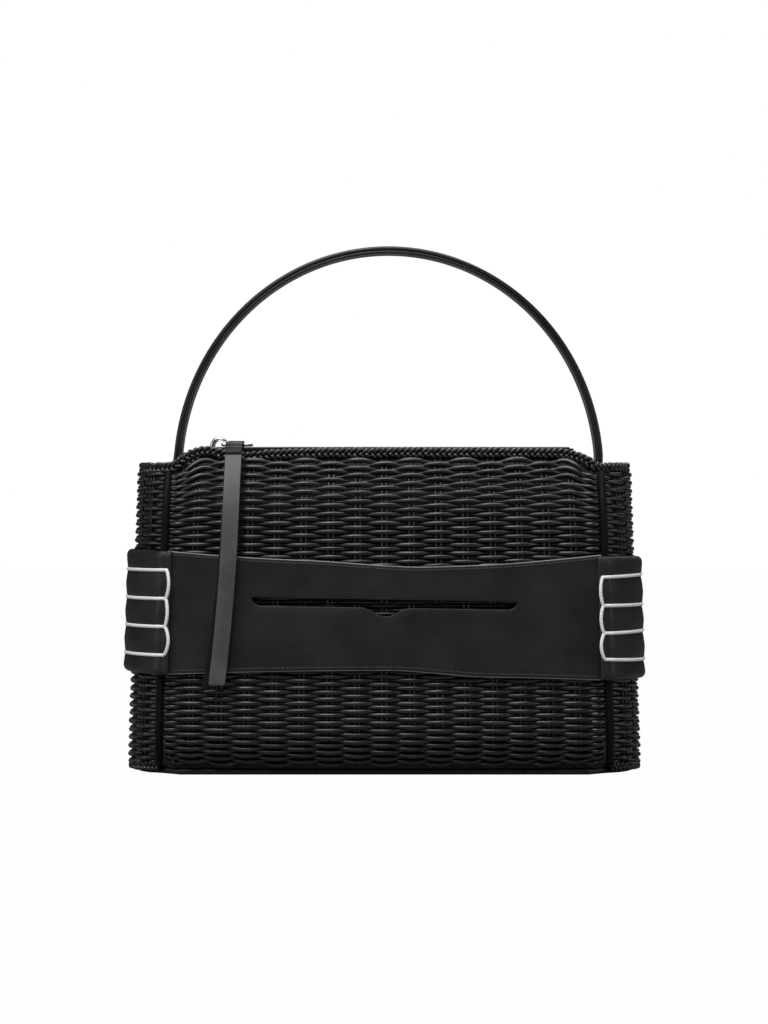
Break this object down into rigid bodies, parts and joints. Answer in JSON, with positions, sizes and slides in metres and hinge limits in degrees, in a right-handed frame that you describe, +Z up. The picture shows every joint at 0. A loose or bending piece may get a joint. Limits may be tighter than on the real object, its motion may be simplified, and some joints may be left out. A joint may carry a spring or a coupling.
{
  "type": "top-handle bag",
  "caption": "Box bag of black wicker with a slotted leather belt laced to its side walls, an arched leather carrying strap and a zipped top with a long leather pull.",
  "frame": {"origin": "middle of the base board's underside", "axes": "+Z up, +X to the right as seen from the front, -Y out of the front"},
  "size_m": [0.3132, 0.1131, 0.3135],
  "materials": {
    "wicker": "dyed black rattan with a satin gloss",
    "base_leather": "smooth black leather over board",
    "belt_leather": "fine-grained black leather, matte",
    "white_cord": "waxed off-white twisted cord",
    "strap_leather": "smooth black leather",
    "strap_lining": "dark grey leather, matte",
    "lining_fabric": "black twill",
    "closure_leather": "smooth black leather",
    "zip_tape": "black woven tape",
    "zip_metal": "polished nickel",
    "pull_leather": "smooth dark grey leather, satin"
  },
  "bodies": {
    "bag": {"front_wall": "wicker", "back_wall": "wicker", "left_side": "wicker", "right_side": "wicker", "base_board": "base_leather", "corner_posts": "wicker", "rim_braid": "wicker", "belt_front": "belt_leather", "belt_back": "belt_leather", "left_wrap": "belt_leather", "right_wrap": "belt_leather", "left_lacing": "white_cord", "right_lacing": "white_cord", "strap_outer": "strap_leather", "strap_lining": "strap_lining", "lining": "lining_fabric", "closure_front": "closure_leather", "closure_back": "closure_leather", "zip_tape_front": "zip_tape", "zip_tape_back": "zip_tape", "zip_teeth_front": "zip_metal", "zip_teeth_back": "zip_metal", "zip_stops": "zip_metal"},
    "slider": {"zip_slider": "zip_metal"},
    "ring": {"pull_ring": "zip_metal"},
    "pull": {"pull_loop": "pull_leather", "pull_strip": "pull_leather"}
  },
  "joints": [
    {"name": "zip_slide", "type": "slide", "parent": "bag", "child": "slider", "axis": [1, 0, 0], "range_m": [0, 0.196], "deforming": ["zip_teeth_front", "zip_teeth_back"]},
    {"name": "ring_flip", "type": "hinge", "parent": "slider", "child": "ring", "pos_m": [-0.097, 0, 0.19493], "axis": [0, -1, 0], "range_deg": [0, 55]},
    {"name": "pull_lift", "type": "hinge", "parent": "ring", "child": "pull", "pos_m": [-0.0885, -0.0075, 0.19493], "axis": [-1, 0, 0], "range_deg": [0, 85]}
  ]
}
